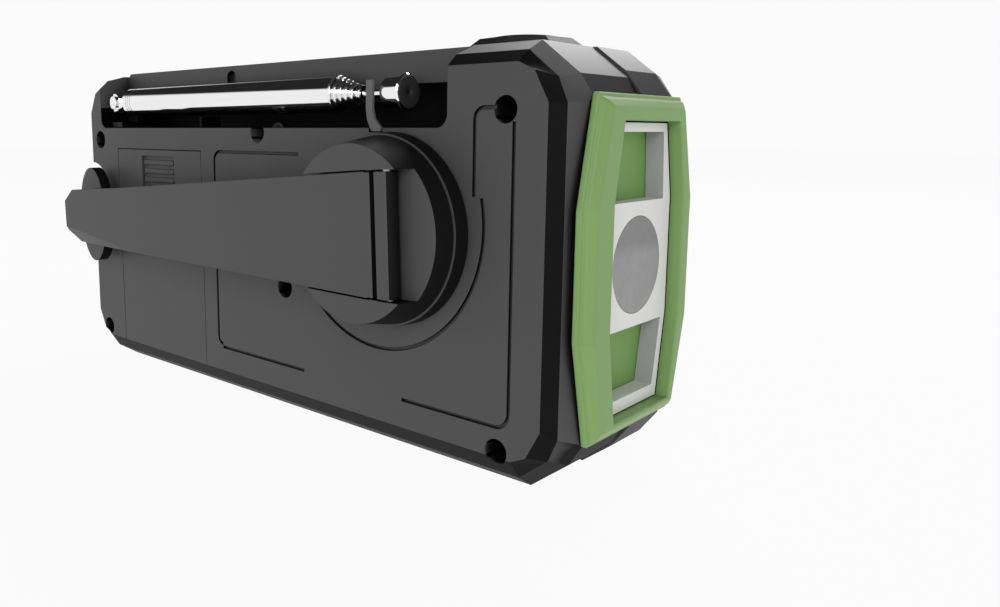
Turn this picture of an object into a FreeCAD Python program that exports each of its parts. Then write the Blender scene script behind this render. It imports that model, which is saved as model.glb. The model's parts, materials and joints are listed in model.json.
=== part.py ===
import FreeCAD, Part
import math
import os

# Hand-crank emergency radio. +Z up, front (speaker and dial) towards -Y, back
# (crank and antenna) towards +Y, torch end towards -X. Origin: centre of the
# underside it stands on. All sizes in millimetres.

V = FreeCAD.Vector

# ---- case -------------------------------------------------------------
back_half = 75.0        # half length of the flat back and front faces
side_out = 4.1          # how far the ends and top stand out past the flat face
low_out = 6.8           # how far the underside stands out past the flat face
flat_height = 69.3      # height of the flat face
face_y = 22.0           # flat face, front and back, from the middle plane
bevel_deep = 2.4        # first bevel, measured back from the flat face
bevel_side = 2.1
bevel_low = 3.5
strip_deep = 7.6        # second, shallower bevel
part_y = -2.4           # parting plane between the two covers
wall = 2.2
seam = 0.15             # gap between pieces that butt together
fit = 0.05              # radial clearance of a running fit
through = 60.0          # reach of a cutting tool that goes right through
skin = 0.01             # a cutting tool starts this far outside the face
# corner cuts: length along X, length along Z, and where the cut bends
flat_corner = (6.0, 6.8, 0.53, 0.22)
rear_bevel_corner = (7.7, 8.9, 0.766, 0.53)
rear_corner = (10.5, 10.4, 0.724, 0.567)
front_bevel_corner = (7.3, 7.4, 0.56, 0.38)
front_corner = (9.6, 9.3, 0.62, 0.49)
deep_corner = (12.0, 11.5, 0.54, 0.3)
shallow_corner = (8.0, 9.0, 0.54, 0.3)

case_half = back_half + side_out
case_top = low_out + flat_height + side_out
flat_low = low_out
flat_high = low_out + flat_height
inner_y = face_y - wall
rear_wall_y = face_y - strip_deep

# ---- fasteners -----------------------------------------------------------
screw_places = [(-66.6, case_top - 11.9), (-65.9, 7.9), (70.3, case_top - 18.2),
                (70.0, 9.2), (0.5, case_top - 15.9), (-8.2, case_top - 49.8)]
board_screw = screw_places[5]
screw_recess_r = 2.38
screw_recess_deep = 6.0
screw_head_r = 2.2
screw_head_thick = 1.6
screw_shank_r = 1.1
screw_length = 24.0
cross_half = 1.4        # cross slot in the screw head
cross_wide = 0.3
cross_deep = 0.8
boss_r = 3.9
front_boss_r = 3.5
pilot_end_y = -13.0     # blind end of the screw holes in the front cover

# ---- antenna ---------------------------------------------------------------
trough_x0 = -53.9       # blind end of the antenna trough
trough_x1 = 69.6        # pivot end
trough_low = case_top - 15.0      # lower lip
trough_deep = 13.0      # depth of the slot below the antenna
trough_round = 2.5
trough_wall = 1.6
shelf_deep = 9.1        # depth of the open wall above the antenna
shelf_low = case_top - 9.6
tip_slot = (-33.0, case_top - 6.3)      # deep part of the trough behind the tip: X from, top
arch_x = 21.8           # finger notch in the wall above the antenna
arch_r = 1.8
arch_top = case_top - 1.1
arch_deep = 1.3
# rest rib: X from, X to, Y from, Y to, top
cradle = (24.3, 25.1, 14.6, 20.2, case_top - 12.3)
mast_y = 17.7
mast_z = case_top - 8.15
pivot_x = 65.4
mast_r = [3.7, 3.25, 2.85, 2.45, 2.05, 1.55]
mast_x = [-22.4, -23.6, -24.8, -26.1, -27.4, -28.9]  # free end of each section
mast_root_x = 57.3
mast_cone = 1.8         # start of the tapered root, past the last ring
mast_cone_length = 3.1
mast_neck_r = 1.4
ring_pitch = 1.0
ring_wide = 0.35
ring_deep = 0.3
section_length = 76.5
section_step = 3.0      # each section is this much shorter than the one around it
section_wall = 0.36
rod_r = 0.9
rod_short = 18.0
tip_x0 = -35.9
tip_x1 = -41.0
tip_r0 = 3.0
tip_r = 3.25
tip_rim = (3.6, 0.7, 0.25)    # radius, width, rounding
eye_r = 3.3           # ball the antenna turns on
eye_half = 2.3         # half of its width between the flats
cheek = 1.4
cheek_gap = 0.25
rivet_r = 0.9
rivet_head = (1.7, 0.5)    # radius, thickness
clip_y = 21.3
clip_thick = 0.6
# strap outline from the top down: X of its two sides, height
clip_sides = [(-33.5, -35.2, case_top - 5.8), (-33.4, -35.1, case_top - 11.2),
              (-33.7, -35.7, case_top - 13.3), (-34.5, -37.4, trough_low),
              (-35.0, -37.3, trough_low - 0.65)]
clip_foot = (-35.1, -37.2)
clip_notch = (-38.1, -34.3, trough_low - 0.85)

# ---- crank -------------------------------------------------------------
hub_x = -40.5
hub_z = case_top - 34.3
crank_tilt = -2.2       # the folded arm points this many degrees below level
base_r0 = 18.55
base_r1 = 18.3
base_high = 3.2
hub_gap = 0.3
hub_r0 = 17.95
hub_r1 = 16.55
hub_high = 11.4
slot_floor = 7.4        # open half of the arm slot, above the flat back
bed_floor = 6.2         # half of the slot the folded arm lies in
shaft_seat = 0.8        # hub left over the end of the shaft
arm_low = 6.6
arm_gap = 0.35
arm_root_half = 11.4
arm_mid = (82.5, 7.7)   # distance from the hub centre, half width
arm_end = (106.0, 7.0)
arm_tip = (110.4, 4.0)
arm_line = (1.5, 2.6, 1.3)   # groove beside the hinge: from, to, depth
arm_bevel = (14.0, 8.4, 2.0, 12.0, 4.0)   # length, start and end half width, drop, overrun
hinge_u = -8.1          # arm hinge, measured from the hub centre
hinge_high = 9.5        # height of the hinge above the flat back
hinge_r = 1.9
hinge_pin_r = 0.8
hinge_pin_half = 14.2
hinge_clear = 4.0       # the arm is thinned this far from its hinge
bed_clear = 3.5
knob_u = 106.7
knob_plate = (6.6, 12.7)     # half sizes of the oval finger plate
knob_plate_low = 2.7
knob_plate_high = 5.5
knob_foot_r = 4.6
knob_foot_low = 0.5
knob_seat_r = 2.6
knob_pin_r = 1.5
knob_pin_into_arm = 1.6
pin_head_r = 2.3
pin_head_low = 0.7
pin_head_high = 1.7
pin_collar_r = 3.0
pin_collar_gap = 0.1
notch_x = 75.0          # middle of the oval finger notch
notch_reach = 10.2
notch_half = 13.85
notch_y = 6.8

# ---- gear train and generator -------------------------------------------
gear_module = 0.8
wheel_teeth = 36
pinion_teeth = 10
tooth_add = 0.62
tooth_ded = 1.05
tooth_tip = 0.105       # half width of a tooth, in pitches
tooth_root = 0.29
wheel_holes = (5, 8.6, 2.6)   # count, distance out, radius
shaft_r = 3.0
shaft_collar = 2.5
shaft_below = 4.0
axle_r = 1.2
drive_y = (11.2, 14.2)
idler_y = (7.2, 10.2)
idler_dir = -110.0
rotor_dir = -20.0
gen_r = 11.0
gen_y = (-12.0, 5.4)
gen_wall = 1.2
gen_end = 0.6
magnet_r = 6.8
magnet_end = 3.0
coil_r = (7.4, 9.4)
coil_end = 2.6
plate_thick = 1.2
plate_gap = 0.2

# ---- torch end -----------------------------------------------------------
bezel_mid_half = 19.6
bezel_end_half = 15.4
bezel_z = (11.1, 29.4, case_top - 28.4, case_top - 9.8)
bezel_out = 3.2
bezel_flange = (1.3, 0.7)     # thickness, extra height at top and bottom
bezel_bead = 0.5        # step in from the flange to the bead
bezel_slope = (1.2, 1.6)      # depth and width of the sloping front edge
bezel_in_mid = 13.3
bezel_in_end = 10.7
bezel_in_z = (13.6, 30.2, case_top - 27.7, case_top - 13.7)
neck_wall = 1.5
neck_z = (12.3, 30.0, case_top - 27.5, case_top - 12.1)
neck_deep = 5.0
neck_gap = 0.1
panel_back = 2.4        # panel face behind the bezel face
panel_thick = 1.4
panel_gap = 0.9
panel_end_gap = 0.3
# windows: half width and height of the lower edge, then of the upper edge
window_upper = (9.5, case_top - 28.0, 8.7, case_top - 15.6)
window_lower = (8.2, 16.3, 10.6, 29.2)
mouth_y = -1.2         # the mouth sits a little towards the front cover
window_deep = 3.6
window_wall = 0.7
backing_thick = 1.2
lens_r = (window_upper[1] - window_lower[3]) * 0.387
lens_z = 40.6
lens_gap = 0.1
cup_deep = 9.0
cup_end_r = 3.4
cup_wall = 0.8
led_half = 7.0
led_chip_r = 1.8
led_chip_high = 0.8

# ---- front ------------------------------------------------------------------
speaker_x = 40.0
speaker_z = case_top / 2 + 0.9
grille_r = flat_height * 0.3608
grille_thick = 1.2
grille_seat = 1.4
grille_pitch = grille_r * 0.184
grille_rows = 4
grille_rim = 4.0
grille_slot_half = 0.9
speaker_gap = 0.1
basket_deep = 10.0
basket_wall = 1.2
basket_end_r = 12.0
cone_end_r = 7.0
cone_deep = 8.0
cone_wall = 0.6
speaker_magnet_r = 13.0
speaker_magnet_thick = 6.0
dial_x = (-60.0, -10.0)
dial_z = (case_top - 24.7, case_top - 12.2)
dial_sunk = 1.3
dial_rim = 2.0
scale_behind = 3.2
scale_thick = 0.8
pointer_half = 0.5
pointer_y = (1.0, 2.4)  # behind the inside of the front wall
pointer_inset = 0.8
tuning_at = (-44.0, 32.0)
tuning_r = 11.5
tuning_half = 7.0
volume_at = (2.2, 30.0)
volume_r = 8.5
volume_half = 5.5
knob_proud = 9.0
knob_lift = 0.4
knob_draft = 0.7
knob_flutes = 24
flute_r = 0.7
flute_ends = (1.0, 1.2)
flute_out = 0.25
stem_r = 2.2
stem_hole_r = 2.6
control_deep = 4.0
board_y = (-15.6, -14.0)
board_x = (-58.0, 10.0)
board_z = (8.5, case_top - 27.2)
band_at = (-24.0, 14.5)
band_slot = (6.0, 1.4)
band_knob = (2.2, 1.2, 1.6)
band_stem = (1.2, 1.1)
band_body = (6.0, 3.0, 2.1)

# ---- top -------------------------------------------------------------------
solar_x = (-28.0, 58.0)
solar_y = (-17.5, 9.5)
solar_sunk = 1.6
solar_gap = 0.2
solar_rim = 2.4
solar_floor = 0.5
cell_thick = 0.8
lamp_at = (-53.0, -3.4)
lamp_r = 12.8
lamp_high = 2.3
lamp_slope = 3.2
lamp_turn = 12.0
lamp_hole_r = 6.4
lamp_button_r = 6.1
lamp_button_high = 0.5
lamp_stem_r = 2.0
lamp_stem_low = 5.0
lamp_foot = 0.4
lamp_switch_half = 4.0
lamp_switch_z = (10.0, 6.2)   # below the top

# ---- battery bay ------------------------------------------------------------
door_x = (22.4, 61.2)
door_top = case_top - 20.4
door_thick = 2.0
door_gap = 0.2
door_lip_y = 17.0
door_lip_z = 5.4
pad_x = (34.2, 49.2)
pad_z = (case_top - 37.7, case_top - 22.2)
pad_deep = 0.8
rib_count = 6
rib_pitch = 2.2
rib_first = 1.6
rib_half = 0.55
rib_inset = 1.0
rib_sunk = 0.1
bay_x = (25.6, 57.8)
bay_z = (8.2, case_top - 23.6)
bay_deep = 13.2
bay_wall = 1.4
cell_r = 5.15
cell_length = bay_z[1] - bay_z[0] - 6.4
cell_pitch = 10.6
cell_drop = 0.6
cell_tip_r = 1.9
cell_tip_high = 1.0
contact_half = 4.2
contact_thick = 0.4

# ---- charging port ---------------------------------------------------------
port_y = (-14.0, -4.0)
port_z = (26.0, 50.0)
port_proud = 0.3
port_gap = 0.2
port_tab = (3.0, 2.2, 0.6, 0.9)
port_hinge_r = 0.8
port_hinge_x = case_half + port_proud - port_hinge_r
port_hinge_z = port_z[0] + port_hinge_r
usb_board_y = (-12.2, -5.8)
usb_board_z = (34.0, 35.2)
usb_board_long = 9.0
usb_y = (-11.8, -6.2)
usb_z = (35.2, 38.2)
usb_long = 5.4
usb_wall = 0.6

# ---- shallow lines on the flat back ------------------------------------------
line_half = 0.35
line_deep = 0.6
line_high = case_top - 20.5    # height of the line over the panel
line_bars = [((17.0, 15.6), (17.0, line_high - 2.1)), ((-13.0, line_high), (14.8, line_high)),
             ((-14.0, 12.7), (15.0, 12.7)), ((-65.6, 12.5), (-43.5, 12.5)),
             ((-68.4, 15.4), (-68.4, case_top - 14.3)),
             ((-60.1, case_top - 26.6), (-60.1, case_top - 13.6)),
             ((-64.2, case_top - 11.5), (-62.2, case_top - 11.5))]
# quarter rounds joining the lines: centre, radius, side along X, side along Z
line_turns = [((14.8, line_high - 2.2), 2.2, 1, 1), ((15.3, 15.2), 1.7, 1, -1),
              ((-65.6, 15.3), 2.8, -1, -1), ((-62.2, case_top - 13.6), 2.1, 1, 1)]
line_ring = (3.8, 1.7, 25.7)   # offset from the hub centre, radius
line_ring_right = 18.0
line_ring_top = 5.4


def box(x0, x1, y0, y1, z0, z1):
    return Part.makeBox(x1 - x0, y1 - y0, z1 - z0, V(x0, y0, z0))


def rod_y(r, y0, y1, x, z):
    return Part.makeCylinder(r, y1 - y0, V(x, y0, z), V(0, 1, 0))


def rod_x(r, x0, x1, y, z):
    return Part.makeCylinder(r, x1 - x0, V(x0, y, z), V(1, 0, 0))


def rod_z(r, z0, z1, x, y):
    return Part.makeCylinder(r, z1 - z0, V(x, y, z0), V(0, 0, 1))


def cone_y(r0, r1, y0, y1, x, z):
    return Part.makeCone(r0, r1, y1 - y0, V(x, y0, z), V(0, 1, 0))


def cone_x(r0, r1, x0, x1, y, z):
    return Part.makeCone(r0, r1, x1 - x0, V(x0, y, z), V(1, 0, 0))


def wire(points):
    return Part.makePolygon(points + [points[0]])


def slab_y(pairs, y0, y1):
    # flat plate: outline in X and Z, thickness along Y
    face = Part.Face(wire([V(x, y0, z) for x, z in pairs]))
    return face.extrude(V(0, y1 - y0, 0))


def slab_x(pairs, x0, x1):
    # flat plate: outline in Y and Z, thickness along X
    face = Part.Face(wire([V(x0, y, z) for y, z in pairs]))
    return face.extrude(V(x1 - x0, 0, 0))


def fused(shapes):
    return shapes[0].multiFuse(shapes[1:]).removeSplitter()


def outline(half, low, high, corner):
    # four-sided outline whose corners are cut off in two straight steps
    cx, cz, bend_x, bend_z = corner
    mx = half - cx * (1 - bend_x)
    mz = cz * bend_z
    right = [(half - cx, low), (mx, low + mz), (half, low + cz),
             (half, high - cz), (mx, high - mz), (half - cx, high)]
    left = [(-x, z) for x, z in reversed(right)]
    return right + left


def case_sections(side):
    # outlines of one cover from its flat face to the parting plane
    bevel_corner = rear_bevel_corner if side > 0 else front_bevel_corner
    outer_corner = rear_corner if side > 0 else front_corner
    rings = [
        (face_y, outline(back_half, flat_low, flat_high, flat_corner)),
        (face_y - bevel_deep,
         outline(back_half + bevel_side, flat_low - bevel_low,
                 flat_high + bevel_side, bevel_corner)),
        (face_y - strip_deep, outline(case_half, 0.0, case_top, outer_corner)),
    ]
    return [[V(x, side * y, z) for x, z in ring] for y, ring in rings]


def case_solid(side, end_y):
    rings = case_sections(side)
    straight = [V(p.x, end_y, p.z) for p in rings[-1]]
    wires = [wire(r) for r in rings] + [wire(straight)]
    return Part.makeLoft(wires, True, True)


def cavity(side, end_y):
    deep = outline(case_half - wall, wall, case_top - wall, deep_corner)
    shallow = outline(back_half - 0.5, flat_low, flat_high, shallow_corner)
    lo, hi = sorted((end_y, side * rear_wall_y))
    lo2, hi2 = sorted((end_y, side * inner_y))
    return fused([slab_y(deep, lo, hi), slab_y(shallow, lo2, hi2)])


# ---- crank frame: u along the folded arm, w across it ----------------------
def tilted(shape):
    turned = shape.copy()
    turned.rotate(V(hub_x, 0, hub_z), V(0, 1, 0), -crank_tilt)
    return turned


def arm_outline(extra, start):
    pairs = [(start, arm_root_half + extra), (arm_mid[0], arm_mid[1] + extra),
             (arm_end[0], arm_end[1] + extra), (arm_tip[0] + extra, arm_tip[1] + extra)]
    top = [(hub_x + u, hub_z + w) for u, w in pairs]
    low = [(hub_x + u, hub_z - w) for u, w in reversed(pairs)]
    return top + low


def knob_place():
    turn = math.radians(crank_tilt)
    return hub_x + knob_u * math.cos(turn), hub_z + knob_u * math.sin(turn)


def oval(half_x, half_z, x, z, steps=40):
    angles = [2 * math.pi * i / steps for i in range(steps)]
    return [(x + half_x * math.cos(a), z + half_z * math.sin(a)) for a in angles]


def knob_notch():
    kz = knob_place()[1]
    round_part = slab_y(oval(notch_reach, notch_half, notch_x, kz), notch_y, face_y + 1)
    open_part = box(notch_x, case_half + 1, notch_y, face_y + 1, kz - notch_half, kz + notch_half)
    return fused([round_part, open_part])


def notch_block():
    kz = knob_place()[1]
    half = notch_half + wall
    return box(notch_x - notch_reach - wall, case_half, notch_y - wall, face_y,
               kz - half, kz + half)


# ---- battery bay ------------------------------------------------------------
def door_space(gap):
    return box(door_x[0] - gap, door_x[1] + gap, door_lip_y - gap, face_y + 1,
               -1.0, door_top + gap)


def battery_door():
    plate = case_solid(1, part_y).common(door_space(-door_gap))
    inside = box(door_x[0] - 1, door_x[1] + 1, door_lip_y - 1, face_y - door_thick,
                 door_lip_z, door_top + 1)
    pad_y = face_y - pad_deep
    pad = box(pad_x[0], pad_x[1], pad_y, face_y + 1, pad_z[0], pad_z[1])
    ribs = []
    for i in range(rib_count):
        z = pad_z[1] - rib_first - i * rib_pitch
        bar = box(pad_x[0] + rib_inset, pad_x[1] - rib_inset, pad_y, face_y - rib_sunk,
                  z - rib_half, z + rib_half)
        end = rod_y(rib_half, pad_y, face_y - rib_sunk, pad_x[0] + rib_inset, z)
        ribs += [bar, end]
    return fused([plate.cut(inside).cut(pad)] + ribs)


cell_y = face_y - door_thick - cell_drop - cell_r
bay_mid = (bay_x[0] + bay_x[1]) / 2


def battery_cells():
    z0 = (bay_z[0] + bay_z[1]) / 2 - cell_length / 2
    z1 = z0 + cell_length
    cells = []
    for i in (-1, 0, 1):
        x = bay_mid + i * cell_pitch
        body = rod_z(cell_r, z0, z1, x, cell_y)
        tip = rod_z(cell_tip_r, z1, z1 + cell_tip_high, x, cell_y)
        cells.append(fused([body, tip]))
    return Part.makeCompound(cells)


def battery_contacts():
    plates = []
    for i in (-1, 0, 1):
        x = bay_mid + i * cell_pitch
        for z in (bay_z[0], bay_z[1] - contact_thick):
            plates.append(box(x - contact_half, x + contact_half, cell_y - contact_half,
                              cell_y + contact_half, z, z + contact_thick))
    return Part.makeCompound(plates)


# ---- covers -------------------------------------------------------------
def trough_slot(extra, end_y):
    # slot the antenna lies in, with round lower corners
    slot = box(trough_x0 - extra, trough_x1 + extra, face_y - trough_deep - extra, end_y,
               trough_low - extra, shelf_low + 1)
    low_edges = [e for e in slot.Edges
                 if e.BoundBox.YLength > trough_deep and e.BoundBox.ZMax < shelf_low]
    return slot.makeFillet(trough_round, low_edges)


def trough_cut():
    shelf_y = face_y - shelf_deep
    slot = trough_slot(0.0, face_y + 1)
    shelf = box(trough_x0, trough_x1, shelf_y, face_y + 1, shelf_low, case_top + 1)
    deep = box(trough_x0, tip_slot[0], face_y - trough_deep, face_y, shelf_low, tip_slot[1])
    notch = box(clip_notch[0], clip_notch[1], mast_y - 1, face_y + 1, clip_notch[2], shelf_low)
    arch = rod_y(arch_r, shelf_y - arch_deep, face_y, arch_x, arch_top - arch_r)
    arch_low = box(arch_x - arch_r, arch_x + arch_r, shelf_y - arch_deep, face_y,
                   shelf_low, arch_top - arch_r)
    return fused([slot, shelf, deep, notch, arch, arch_low])


def trough_walls():
    slot = trough_slot(trough_wall, face_y)
    shelf = box(trough_x0 - trough_wall, trough_x1 + trough_wall,
                face_y - shelf_deep - arch_deep - trough_wall, face_y, shelf_low, case_top)
    deep = box(trough_x0 - trough_wall, tip_slot[0] + trough_wall,
               face_y - trough_deep - trough_wall, face_y, shelf_low, tip_slot[1] + trough_wall)
    return fused([slot, shelf, deep])


def groove_lines():
    # shallow decorative lines on the flat back
    y0 = face_y - line_deep
    y1 = face_y + 1
    w = line_half
    lines = []
    for (x0, z0), (x1, z1) in line_bars:
        lines.append(box(x0 - w, x1 + w, y0, y1, z0 - w, z1 + w))
    for (x, z), r, dx, dz in line_turns:
        turn = rod_y(r + w, y0, y1, x, z).cut(rod_y(r - w, y0, y1, x, z))
        x0, x1 = sorted((x, x + dx * (r + 1)))
        z0, z1 = sorted((z, z + dz * (r + 1)))
        lines.append(turn.common(box(x0, x1, y0, y1, z0, z1)))
    ring_x = hub_x + line_ring[0]
    ring_z = hub_z + line_ring[1]
    ring = rod_y(line_ring[2] + w, y0, y1, ring_x, ring_z)
    ring = ring.cut(rod_y(line_ring[2] - w, y0, y1, ring_x, ring_z))
    keep = box(ring_x - through, ring_x + line_ring_right, y0, y1,
               ring_z - through, ring_z + line_ring_top)
    return Part.makeCompound(lines + [ring.common(keep)])


def rear_cover():
    outer = case_solid(1, part_y + seam / 2)
    shell = outer.cut(cavity(1, part_y - 1))
    bosses = [rod_y(boss_r, part_y + seam / 2, inner_y + 1, x, z) for x, z in screw_places]
    bay = box(bay_x[0] - bay_wall, bay_x[1] + bay_wall, inner_y - bay_deep - bay_wall, inner_y,
              flat_low - 1, bay_z[1] + bay_wall)
    collar = rod_y(shaft_r + shaft_collar, drive_y[1] + hub_gap, inner_y + 1, hub_x, hub_z)
    inside = bosses + [trough_walls(), bay, notch_block()]
    body = fused([shell, collar] + [s.common(outer) for s in inside])
    body = body.cut(trough_cut()).cut(knob_notch())
    rest = box(cradle[0], cradle[1], cradle[2], cradle[3], trough_low - 1, cradle[4])
    body = body.fuse(rest)
    door_back = box(-case_half, case_half, -face_y, face_y - door_thick - door_gap,
                    door_lip_z + door_gap, case_top)
    body = body.cut(door_space(0.0).cut(door_back))
    body = body.cut(box(bay_x[0], bay_x[1], inner_y - bay_deep, face_y, bay_z[0], bay_z[1]))
    for x, z in screw_places:
        body = body.cut(rod_y(screw_recess_r, face_y - screw_recess_deep - screw_head_thick,
                              face_y + 1, x, z))
        body = body.cut(rod_y(screw_shank_r + 0.2, part_y - 1, face_y, x, z))
    body = body.cut(rod_y(shaft_r + fit, 0, face_y + 1, hub_x, hub_z))
    body = body.cut(groove_lines())
    body = body.cut(solar_space()).cut(lamp_space()).cut(torch_space())
    return body.cut(port_space())


def cover_screws():
    screws = []
    y1 = face_y - screw_recess_deep
    y0 = y1 - screw_head_thick
    for x, z in screw_places:
        head = rod_y(screw_head_r, y0, y1, x, z)
        shank = rod_y(screw_shank_r, y0 - screw_length, y0, x, z)
        screw = fused([head, shank])
        for half_x, half_z in ((cross_half, cross_wide), (cross_wide, cross_half)):
            screw = screw.cut(box(x - half_x, x + half_x, y1 - cross_deep, y1 + 1,
                                  z - half_z, z + half_z))
        screws.append(screw)
    return Part.makeCompound(screws)


def front_cover():
    outer = case_solid(-1, part_y - seam / 2)
    shell = outer.cut(cavity(-1, part_y + 1))
    bosses = [rod_y(front_boss_r, -inner_y - 1, part_y - seam / 2, x, z)
              for x, z in screw_places]
    body = fused([shell] + [b.common(outer) for b in bosses])
    y0 = -face_y - 1
    y1 = -inner_y + 1
    for x, z in screw_places:
        body = body.cut(rod_y(screw_shank_r, pilot_end_y, part_y + 1, x, z))
    body = body.cut(rod_y(grille_r + seam, y0, -face_y + grille_seat, speaker_x, speaker_z))
    body = body.cut(rod_y(grille_r - wall, y0, y1, speaker_x, speaker_z))
    body = body.cut(box(dial_x[0], dial_x[1], y0, -face_y + dial_sunk, dial_z[0], dial_z[1]))
    body = body.cut(box(dial_x[0] + dial_rim, dial_x[1] - dial_rim, y0, y1,
                        dial_z[0] + dial_rim, dial_z[1] - dial_rim))
    for x, z in (tuning_at, volume_at):
        body = body.cut(rod_y(stem_hole_r, y0, y1, x, z))
    body = body.cut(box(band_at[0] - band_slot[0], band_at[0] + band_slot[0], y0, y1,
                        band_at[1] - band_slot[1], band_at[1] + band_slot[1]))
    body = body.cut(solar_space()).cut(lamp_space()).cut(torch_space())
    return body.cut(port_space())


# ---- antenna -------------------------------------------------------------
def antenna_bracket():
    # one upright behind the ball, on a foot in the corner of the trough
    y1 = mast_y - eye_half - cheek_gap
    z0 = trough_low + seam
    x0 = pivot_x - eye_r
    x1 = trough_x1 - trough_round
    upright = box(x0, x1, y1 - cheek, y1, z0, mast_z)
    top = rod_y((x1 - x0) / 2, y1 - cheek, y1, (x0 + x1) / 2, mast_z)
    foot = box(x0, x1, y1 - cheek, mast_y + eye_half, z0, z0 + cheek)
    hole = rod_y(rivet_r, 0, face_y + 1, pivot_x, mast_z)
    return fused([upright, top, foot]).cut(hole)


def antenna_rivet():
    head_r, head_high = rivet_head
    y0 = mast_y - eye_half - cheek_gap - cheek
    y1 = mast_y + eye_half + fit
    pin = rod_y(rivet_r, y0, y1, pivot_x, mast_z)
    return fused([pin, rod_y(head_r, y1, y1 + head_high, pivot_x, mast_z)])


def antenna_mast():
    root = mast_root_x + mast_cone
    cone_end = root + mast_cone_length
    ball = Part.makeSphere(eye_r, V(pivot_x, mast_y, mast_z))
    flats = box(pivot_x - eye_r - 1, pivot_x + eye_r + 1, mast_y - eye_half,
                mast_y + eye_half, mast_z - eye_r - 1, mast_z + eye_r + 1)
    neck = rod_x(mast_neck_r, cone_end - 1, pivot_x - 1, mast_y, mast_z)
    cone = cone_x(mast_r[0], mast_neck_r, root, cone_end, mast_y, mast_z)
    tube = rod_x(mast_r[0], mast_x[0], root, mast_y, mast_z)
    hollow = rod_x(mast_r[0] - section_wall, mast_x[0] - 1, mast_root_x - 2, mast_y, mast_z)
    body = fused([ball.common(flats), neck, cone, tube])
    for i in range(3):
        x = mast_root_x - 2 * ring_pitch + i * ring_pitch
        groove = rod_x(mast_r[0] + 1, x, x + ring_wide, mast_y, mast_z)
        core = rod_x(mast_r[0] - ring_deep, x, x + ring_wide, mast_y, mast_z)
        body = body.cut(groove.cut(core))
    return body.cut(hollow).cut(rod_y(rivet_r + fit, 0, face_y + 1, pivot_x, mast_z))


def section_tube(i):
    x1 = mast_x[0] + section_length - section_step * i
    outer = rod_x(mast_r[i], mast_x[i], x1, mast_y, mast_z)
    bore = max(mast_r[i] - section_wall, rod_r)
    return outer.cut(rod_x(bore, mast_x[i] - 1, x1 + 1, mast_y, mast_z))


def antenna_rod():
    return rod_x(rod_r, tip_x0, mast_x[0] + section_length - rod_short, mast_y, mast_z)


def antenna_tip():
    rim_r, rim_wide, rim_edge = tip_rim
    cap = cone_x(tip_r, tip_r0, tip_x1, tip_x0, mast_y, mast_z)
    rim = rod_x(rim_r, tip_x1, tip_x1 + rim_wide, mast_y, mast_z)
    round_edges = [e for e in rim.Edges if e.BoundBox.XLength < seam]
    return cap.fuse(rim.makeChamfer(rim_edge, round_edges)).removeSplitter()


def antenna_clip():
    right = [(x, z) for x, far, z in clip_sides]
    left = [(far, z) for x, far, z in reversed(clip_sides)]
    post = slab_y(right + left, clip_y, clip_y + clip_thick)
    low = clip_sides[-1][2]
    foot = box(clip_foot[1], clip_foot[0], mast_y, clip_y + clip_thick, low, trough_low - seam)
    return fused([post, foot])


# ---- crank ---------------------------------------------------------------
def crank_base():
    ring = cone_y(base_r0, base_r1, face_y, face_y + base_high, hub_x, hub_z)
    return ring.cut(rod_y(shaft_r + fit, 0, through, hub_x, hub_z))


def hinge_pin(r, half):
    return rod_z(r, hub_z - half, hub_z + half, hub_x + hinge_u, face_y + hinge_high)


def crank_hub():
    y0 = face_y + base_high + hub_gap
    y1 = face_y + hub_high
    floor = face_y + slot_floor
    half = arm_root_half + arm_gap
    disc = cone_y(hub_r0, hub_r1, y0, y1, hub_x, hub_z)
    slot = slab_y(arm_outline(arm_gap, hinge_u), floor, y1 + 1)
    behind = box(hub_x - through, hub_x + hinge_u + 1, floor, y1 + 1, hub_z - half, hub_z + half)
    bed = slab_y(arm_outline(arm_gap, hinge_u + bed_clear), face_y + bed_floor, y1 + 1)
    socket = rod_y(shaft_r, y0 - 1, face_y + bed_floor - shaft_seat, hub_x, hub_z)
    pin = hinge_pin(hinge_pin_r, hinge_pin_half)
    return disc.cut(tilted(fused([slot, behind, bed]))).cut(tilted(pin)).cut(socket)


def crank_shaft():
    return rod_y(shaft_r, drive_y[0] - shaft_below, face_y + bed_floor - shaft_seat,
                 hub_x, hub_z)


def arm_hinge_pin():
    return tilted(hinge_pin(hinge_pin_r, hinge_pin_half))


def crank_arm():
    y0 = face_y + arm_low
    y1 = face_y + hub_high
    hinge_y = face_y + hinge_high
    root = slab_y(arm_outline(0.0, hinge_u), hinge_y - hinge_r, y1)
    plate = slab_y(arm_outline(0.0, hinge_u + hinge_clear), y0, y1)
    body = fused([root, plate, hinge_pin(hinge_r, arm_root_half)])
    line = box(hub_x + hinge_u + arm_line[0], hub_x + hinge_u + arm_line[1],
               y1 - arm_line[2], y1 + 1, hub_z - through, hub_z + through)
    bore = hinge_pin(hinge_pin_r + fit, through)
    hole = rod_y(knob_pin_r, y0 - 1, y0 + knob_pin_into_arm, hub_x + knob_u, hub_z)
    # bevel along the lower edge, growing towards the tip
    length, start, end, drop, over = arm_bevel
    near = hub_x + arm_mid[0] - length
    far = hub_x + arm_tip[0] + over
    low = hub_z - 2 * arm_root_half
    top = y1 + seam
    wedge0 = wire([V(near, top, hub_z - start), V(near, top, low), V(near, y1 - seam, low)])
    wedge1 = wire([V(far, top, hub_z - end), V(far, top, low), V(far, y1 - drop, low)])
    bevel = Part.makeLoft([wedge0, wedge1], True, True)
    return tilted(body.cut(line).cut(bore).cut(hole).cut(bevel))


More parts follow.
